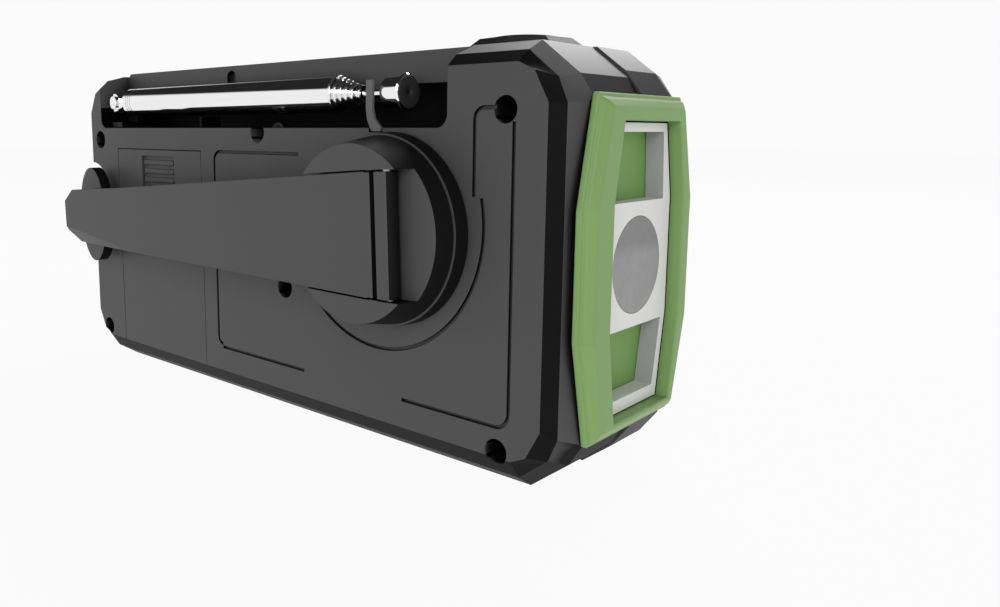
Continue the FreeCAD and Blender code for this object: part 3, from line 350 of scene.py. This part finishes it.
# frosted diffuser: lighter below, moulded rings, cloudy inside; change is a height
def diffuser(name, s):
    mat, tree, shader = newMaterial(name)
    coords = objectCoords(tree)
    split = addNode(tree, "ShaderNodeSeparateXYZ")
    tree.links.new(coords, split.inputs[0])
    high = step(tree, split.outputs[2], s["change"] - s["blur"], s["change"] + s["blur"])
    cloud = noise(tree, coords, 420, 6, 0.65)
    tone = mixColour(tree, high, s["lowColour"], s["highColour"])
    tone = mixColour(tree, mathNode(tree, "MULTIPLY", cloud, 0.35), tone, (0.16, 0.16, 0.16))
    tree.links.new(tone, shader.inputs["Base Color"])
    tree.links.new(spread(tree, cloud, 0.35, 0.6), shader.inputs["Roughness"])
    lens = addNode(tree, "ShaderNodeMapping")
    lens.inputs["Location"].default_value = (0, -s["centre"][0], -s["centre"][1])
    tree.links.new(coords, lens.inputs["Vector"])
    rings = addNode(tree, "ShaderNodeTexWave", wave_type="RINGS", rings_direction="X")
    rings.inputs["Scale"].default_value = s["ringScale"]
    rings.inputs["Distortion"].default_value = s["ringWobble"]
    tree.links.new(lens.outputs[0], rings.inputs["Vector"])
    mixed = mathNode(tree, "ADD", mathNode(tree, "MULTIPLY", rings.outputs["Fac"], 0.4), cloud)
    wear(tree, shader, mixed, s)
    return mat


grey = (0.058, 0.058, 0.059)
# near-black painted shade for side faces and bevels
paintedShadeDark = (0.0045, 0.0045, 0.005)
# painted shade on the lower corner facets and a painted highlight on the upper ones, lighter
# higher up
cornerPaintedLight = dict(steep=(0.4, 0.68), slant=(0.58, 0.85), shine=(0.7, 0.93),
                  dark=(0.004, 0.004, 0.0045), highlightHeight=(0.0735, 0.0803),
                  highlightLow=(0.08, 0.08, 0.08), highlightHigh=(0.36, 0.36, 0.36))
# boxes painted black as painted shade: the antenna trough
troughShadeBoxes = [((-0.0541, 0.0086, 0.0650), (0.0698, 0.0219, 0.0707)),
               ((-0.0541, 0.0086, 0.0706), (-0.0328, 0.0125, 0.0741))]
# the bezel mouth, painted black inside as painted shade
mouthShadeBoxes = [((-0.0797, -0.0148, 0.011), (-0.0735, 0.0135, 0.069))]
# side colours, faces looking down, corner facets, black boxes and recess darkening in these
# finishes are painted shade; the corner facets also carry a painted highlight
finishes = {
    "case": dict(colour=grey, rough=0.5, sideShadeColour=paintedShadeDark, band=(0.58, 0.972), under=True,
                 edge=0.00025, recessShadeReach=0.006, facets=cornerPaintedLight, shadeSlots=troughShadeBoxes),
    "case_front": dict(colour=(0.045, 0.045, 0.046), rough=0.4, sideShadeColour=paintedShadeDark,
                       band=(0.58, 0.972), under=True, edge=0.00025, facets=cornerPaintedLight),
    "door": dict(colour=grey, rough=0.5, sideShadeColour=paintedShadeDark, band=(0.5, 0.93), under=True,
                 edge=0.00025),
    "clip": dict(colour=(0.11, 0.11, 0.11), rough=0.5, edge=0.0001),
    # the crank's walls get near-black painted shade
    "crank": dict(colour=grey, rough=0.5, sideShadeColour=(0.006, 0.006, 0.0065),
                  band=(-0.1, 0.8), edge=0.00025),
    "bezel": dict(colour=(0.19, 0.32, 0.108), rough=0.42, edge=0.0005, shadeSlots=mouthShadeBoxes),
    # the panel's walls get grey painted shade
    "panel": dict(colour=(0.7, 0.7, 0.69), rough=0.35, vary=0.02, dust=0.08,
                  sideShadeColour=(0.3, 0.3, 0.3), band=(0.3, 1.2)),
    "backing": dict(colour=(0.17, 0.32, 0.09), rough=0.5),
    "cone": dict(colour=(0.05, 0.05, 0.05), rough=0.8),
    "scale": dict(colour=(0.85, 0.85, 0.8), rough=0.5),
    "pointer": dict(colour=(0.7, 0.07, 0.04), rough=0.4),
    "knob": dict(colour=(0.03, 0.03, 0.03), rough=0.5, edge=0.0003),
    "board": dict(colour=(0.02, 0.15, 0.06), rough=0.4),
    "solar_rim": dict(colour=(0.02, 0.02, 0.02), rough=0.3, edge=0.0002),
    # the lamp's side faces get near-black painted shade
    "lamp": dict(colour=(0.05, 0.05, 0.05), rough=0.5, specular=0.2, edge=0.0002,
                 sideShadeColour=paintedShadeDark, band=(0.5, 1.2)),
    "port": dict(colour=(0.02, 0.02, 0.02), rough=0.7, edge=0.0003),
    "gear": dict(colour=(0.8, 0.79, 0.74), rough=0.45),
    "led": dict(colour=(0.8, 0.8, 0.7), rough=0.4),
    "window": dict(colour=(0.8, 0.85, 0.85), rough=0.1),
}
metals = {
    "mast": dict(colour=(0.9, 0.9, 0.91), rough=0.07, lines=(0.05, 1.0, 1.0)),
    "bracket": dict(colour=(0.03, 0.03, 0.032), rough=0.4),
    "screw": dict(colour=(0.03, 0.03, 0.03), rough=0.45, edge=0.0001),
    "steel": dict(colour=(0.6, 0.6, 0.6), rough=0.3),
    "contact": dict(colour=(0.7, 0.7, 0.68), rough=0.25),
    "coil": dict(colour=(0.6, 0.25, 0.1), rough=0.35),
    "cell": dict(colour=(0.2, 0.3, 0.35), rough=0.3),
    "reflector": dict(colour=(0.9, 0.9, 0.9), rough=0.05),
    "grille": dict(colour=(0.03, 0.03, 0.03), rough=0.45, edge=0.0002),
    "basket": dict(colour=(0.2, 0.2, 0.2), rough=0.4),
    "magnet": dict(colour=(0.1, 0.1, 0.1), rough=0.6),
    "control": dict(colour=(0.5, 0.5, 0.5), rough=0.35),
}
solarSetup = dict(colour=(0.008, 0.016, 0.07), colourTwo=(0.014, 0.03, 0.11),
                  silver=(0.5, 0.5, 0.52), fingerPitch=0.0016, fingerWide=0.00012,
                  barPitch=0.0075, barWide=0.0005, cellPitch=0.02025, cellGap=0.0006)
lensLow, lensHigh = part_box("light_lens")
lensMid = [(a + b) / 2 for a, b in zip(lensLow, lensHigh)]
lensSetup = dict(lowColour=(0.29, 0.29, 0.29), highColour=(0.2, 0.2, 0.2),
                 change=lensMid[2] + 3 * mm, blur=1.2 * mm, centre=lensMid[1:],
                 ringScale=330, ringWobble=0.2, grain=0.35, grainDepth=0.08 * mm)

made = {k: mouldedPlastic(k, v) for k, v in finishes.items()}
made.update({k: metal(k, v) for k, v in metals.items()})
made["solar"] = solarSheet("solar", solarSetup)
made["lens"] = diffuser("lens", lensSetup)
windowShader = made["window"].node_tree.nodes["Principled BSDF"]
windowShader.inputs["Transmission Weight"].default_value = 0.9    # see through to the scale

slotOf = {p["node"]: p["material_slot"] for p in frame["record"]["subparts"]}
for name, obj in nodes.items():
    obj.data.materials.clear()
    obj.data.materials.append(made[slotOf[name]])
print("materials set:", len(made))


# rounded outer edges, for the pieces whose edges show
edgeSetup = {
    "widths": {"light_bezel": 0.45 * mm},
    "weld": 0.01 * mm,
    "segments": 4,
    "angle": 35,           # degrees; flatter edges stay as they are
}


def softenEdges(obj, width, s):
    weld = obj.modifiers.new("weld", "WELD")
    weld.merge_threshold = s["weld"]
    mod = obj.modifiers.new("softEdge", "BEVEL")
    mod.width = width
    mod.segments = s["segments"]
    mod.limit_method = "ANGLE"
    mod.angle_limit = math.radians(s["angle"])
    mod.harden_normals = False


for name, width in edgeSetup["widths"].items():
    softenEdges(nodes[name], width, edgeSetup)
print("edges softened:", len(edgeSetup["widths"]))


def meshPiece(name, bm, material, body, smooth=True):
    mesh = bpy.data.meshes.new(name)
    bmesh.ops.recalc_face_normals(bm, faces=bm.faces)
    bm.to_mesh(mesh)
    bm.free()
    for face in mesh.polygons:
        face.use_smooth = smooth
    obj = bpy.data.objects.new(name, mesh)
    bpy.context.scene.collection.objects.link(obj)
    mesh.materials.append(material)
    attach(obj, body)


def lathe(bm, profile, centre, axis, steps=48):
    # profile: pairs of (distance along the axis, radius)
    rings = []
    for along, radius in profile:
        ring = []
        for i in range(steps):
            angle = 2 * math.pi * i / steps
            a, b = radius * math.cos(angle), radius * math.sin(angle)
            offset = {"X": (along, a, b), "Y": (a, along, b), "Z": (a, b, along)}[axis]
            ring.append(bm.verts.new([c + o for c, o in zip(centre, offset)]))
        rings.append(ring)
    for first, second in zip(rings, rings[1:] + rings[:1]):
        for i in range(steps):
            k = (i + 1) % steps
            bm.faces.new((first[i], first[k], second[k], second[i]))


def block(bm, low, high):
    verts = [bm.verts.new((x, y, z)) for x in (low[0], high[0])
             for y in (low[1], high[1]) for z in (low[2], high[2])]
    faces = [(0, 1, 3, 2), (4, 6, 7, 5), (0, 4, 5, 1), (2, 3, 7, 6), (0, 2, 6, 4), (1, 5, 7, 3)]
    for face in faces:
        bm.faces.new([verts[i] for i in face])


def nodeSpan(name):
    low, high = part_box(name)
    mid = [(a + b) / 2 for a, b in zip(low, high)]
    return low, high, mid


# rolled lip at the free end of each antenna section
lipSetup = {"length": 0.55 * mm, "proud": 0.13 * mm, "sink": 0.05 * mm,
            "start": 0.02 * mm, "mastRadius": 3.7 * mm}
lipBodies = {"antenna_mast": "mast", "antenna_section_2": "section_2",
             "antenna_section_3": "section_3", "antenna_section_4": "section_4",
             "antenna_section_5": "section_5", "antenna_section_6": "section_6"}


def antennaLip(node, body, s):
    low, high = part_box("antenna_tip")
    centre = (0, (low[1] + high[1]) / 2, (low[2] + high[2]) / 2)
    start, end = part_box(node)
    if node == "antenna_mast":
        radius = s["mastRadius"]
    else:
        radius = (end[2] - start[2]) / 2
    length, proud, sink = s["length"], s["proud"], s["sink"]
    x = start[0]
    profile = [(x, radius - sink), (x - s["start"], radius + proud * 0.4),
               (x + length * 0.25, radius + proud), (x + length * 0.7, radius + proud),
               (x + length, radius + proud * 0.3), (x + length * 1.1, radius - sink)]
    bm = bmesh.new()
    lathe(bm, profile, centre, "X")
    meshPiece(node + "_lip", bm, made["mast"], body)


for node, body in lipBodies.items():
    antennaLip(node, body, lipSetup)


# black plug set into the end of the antenna tip
centreGap = 0.001 * mm      # a turned shape stops this far from its axis
plugSetup = {"radius": 3.15 * mm, "proud": 0.06 * mm, "edge": 0.25 * mm, "sink": 0.2 * mm,
             "dish": 0.03 * mm}


def tipPlug(s):
    low, _, mid = nodeSpan("antenna_tip")
    x = low[0] - s["proud"]
    profile = [(low[0] + s["sink"], centreGap), (low[0] + s["sink"], s["radius"]),
               (low[0], s["radius"]), (x, s["radius"] - s["edge"]),
               (x + s["dish"], s["radius"] * 0.5), (x + s["dish"], centreGap)]
    bm = bmesh.new()
    lathe(bm, profile, (0, mid[1], mid[2]), "X")
    meshPiece("tipPlug", bm, made["knob"], "tip")


tipPlug(plugSetup)


# printed ticks on the tuning scale, two rows
tickSetup = {"count": 45, "longEvery": 5, "rowGap": 5.2 * mm, "short": 1.3 * mm,
             "long": 2.3 * mm, "wide": 0.22 * mm, "thick": 0.08 * mm, "inset": 3.5 * mm}


def scaleTicks(s):
    low, high, mid = nodeSpan("dial_scale")
    bm = bmesh.new()
    first, last = low[0] + s["inset"], high[0] - s["inset"]
    for row, way in ((mid[2] + s["rowGap"] / 2, 1), (mid[2] - s["rowGap"] / 2, -1)):
        for i in range(s["count"]):
            x = first + (last - first) * i / (s["count"] - 1)
            tall = s["long"] if i % s["longEvery"] == 0 else s["short"]
            z0, z1 = sorted((row, row + way * tall))
            block(bm, (x - s["wide"] / 2, low[1] - s["thick"], z0),
                  (x + s["wide"] / 2, low[1] + s["thick"], z1))
        block(bm, (first, low[1] - s["thick"], row - s["wide"] / 2),
              (last, low[1] + s["thick"], row + s["wide"] / 2))
    meshPiece("dialTicks", bm, made["solar_rim"], "case", smooth=False)


scaleTicks(tickSetup)


# coil springs that press on the cells
springSetup = {"turns": 2.6, "radius": 2.9 * mm, "endRadius": 1.5 * mm, "wire": 0.3 * mm,
               "steps": 90, "sides": 10, "gap": 0.15 * mm, "cells": 3, "contact": 0.4 * mm}


def cellSprings(s):
    lowCell, highCell, midCell = nodeSpan("battery_cells")
    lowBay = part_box("battery_contacts")[0][2] + s["contact"]
    cellWide = (highCell[0] - lowCell[0]) / s["cells"]
    bm = bmesh.new()
    for k in range(s["cells"]):
        cx = lowCell[0] + cellWide * (k + 0.5)
        bottom = lowBay + s["wire"] + s["gap"]
        top = lowCell[2] - s["wire"] - s["gap"]
        rings = []
        for i in range(s["steps"]):
            t = i / (s["steps"] - 1)
            angle = 2 * math.pi * s["turns"] * t
            radius = s["radius"] + (s["endRadius"] - s["radius"]) * t
            spot = Vector((cx + radius * math.cos(angle), midCell[1] + radius * math.sin(angle),
                           bottom + (top - bottom) * t))
            outward = Vector((math.cos(angle), math.sin(angle), 0))
            ring = []
            for j in range(s["sides"]):
                turn = 2 * math.pi * j / s["sides"]
                offset = outward * math.cos(turn) + Vector((0, 0, 1)) * math.sin(turn)
                ring.append(bm.verts.new(spot + offset * s["wire"]))
            rings.append(ring)
        for first, second in zip(rings, rings[1:]):
            for j in range(s["sides"]):
                m = (j + 1) % s["sides"]
                bm.faces.new((first[j], first[m], second[m], second[j]))
        bm.faces.new(rings[0])
        bm.faces.new(list(reversed(rings[-1])))
    meshPiece("cellSprings", bm, made["contact"], "case")


cellSprings(springSetup)


# ring of small grip dots on the torch button
dotSetup = {"count": 8, "ring": 3.6 * mm, "radius": 0.55 * mm, "high": 0.25 * mm,
            "sink": 0.1 * mm, "steps": 20}


def buttonDots(s):
    _, high, mid = nodeSpan("lamp_button")
    bm = bmesh.new()
    places = [(0.0, 0.0)]
    for i in range(s["count"]):
        angle = 2 * math.pi * i / s["count"]
        places.append((s["ring"] * math.cos(angle), s["ring"] * math.sin(angle)))
    for x, y in places:
        profile = [(-s["sink"], centreGap), (-s["sink"], s["radius"]), (0.0, s["radius"]),
                   (s["high"] * 0.6, s["radius"] * 0.75), (s["high"], s["radius"] * 0.3),
                   (s["high"] * 1.02, centreGap)]
        lathe(bm, profile, (mid[0] + x, mid[1] + y, high[2]), "Z", s["steps"])
    meshPiece("buttonDots", bm, made["lamp"], "lamp_key")


buttonDots(dotSetup)
print("modelled pieces added")


# plain light floor that glows like the sky at the horizon, so no line shows between them
stageSetup = {
    "size": 6.0,
    "drop": 0.1 * mm,
    "floor": (0.02, 0.02, 0.02),
    "glow": 0.95,
    "horizon": (1.0, 1.0, 1.0),
    "overhead": (0.02, 0.02, 0.02),
    "dimFrom": 0.36,       # sine of the height where the sky starts to darken
    "dimTo": 0.44,
    "sky": 0.965,
}
lights = [
    {"name": "farSoftbox", "place": (0.1, -0.7, 0.75), "aim": (0, 0, 0.04), "size": (0.9, 0.35),
     "power": 8.0},
    {"name": "fillSoftbox", "place": (-0.55, 0.75, 0.45), "aim": (0, 0, 0.04),
     "size": (0.5, 0.5), "power": 4.0},
]


def makeWorld(s):
    world = bpy.data.worlds.new("studioWorld")
    world.use_nodes = True
    tree = world.node_tree
    back = tree.nodes["Background"]
    coords = addNode(tree, "ShaderNodeTexCoord").outputs["Generated"]
    split = addNode(tree, "ShaderNodeSeparateXYZ")
    tree.links.new(coords, split.inputs[0])
    up = step(tree, split.outputs[2], s["dimFrom"], s["dimTo"])
    tree.links.new(mixColour(tree, up, s["horizon"], s["overhead"]), back.inputs[0])
    back.inputs[1].default_value = s["sky"]
    bpy.context.scene.world = world


def makeLight(s):
    data = bpy.data.lights.new(s["name"], "AREA")
    data.shape = "RECTANGLE"
    data.size, data.size_y = s["size"]
    data.energy = s["power"]
    lamp = bpy.data.objects.new(s["name"], data)
    bpy.context.scene.collection.objects.link(lamp)
    lamp.location = s["place"]
    aim = Vector(s["aim"]) - Vector(s["place"])
    lamp.rotation_mode = "QUATERNION"
    lamp.rotation_quaternion = aim.to_track_quat("-Z", "Y")


def makeFloor(s):
    half, z = s["size"] / 2, -s["drop"]
    mesh = bpy.data.meshes.new("studioFloor")
    corners = [(-half, -half, z), (half, -half, z), (half, half, z), (-half, half, z)]
    mesh.from_pydata(corners, [], [(0, 1, 2, 3)])
    floor = bpy.data.objects.new("studioFloor", mesh)
    bpy.context.scene.collection.objects.link(floor)
    mat, tree, shader = newMaterial("studioFloor")
    paper = noise(tree, objectCoords(tree), 3, 2)
    light = tuple(c * 1.1 for c in s["floor"])
    tree.links.new(mixColour(tree, paper, s["floor"], light), shader.inputs["Base Color"])
    shader.inputs["Roughness"].default_value = 0.9
    shader.inputs["Specular IOR Level"].default_value = 0.0
    shader.inputs["Emission Color"].default_value = (1, 1, 1, 1)
    shader.inputs["Emission Strength"].default_value = s["glow"]
    mesh.materials.append(mat)


makeWorld(stageSetup)
makeFloor(stageSetup)
for setup in lights:
    makeLight(setup)
print("stage built, lights:", len(lights))
bpy.context.scene.view_settings.view_transform = "Standard"
print("view set to Standard")
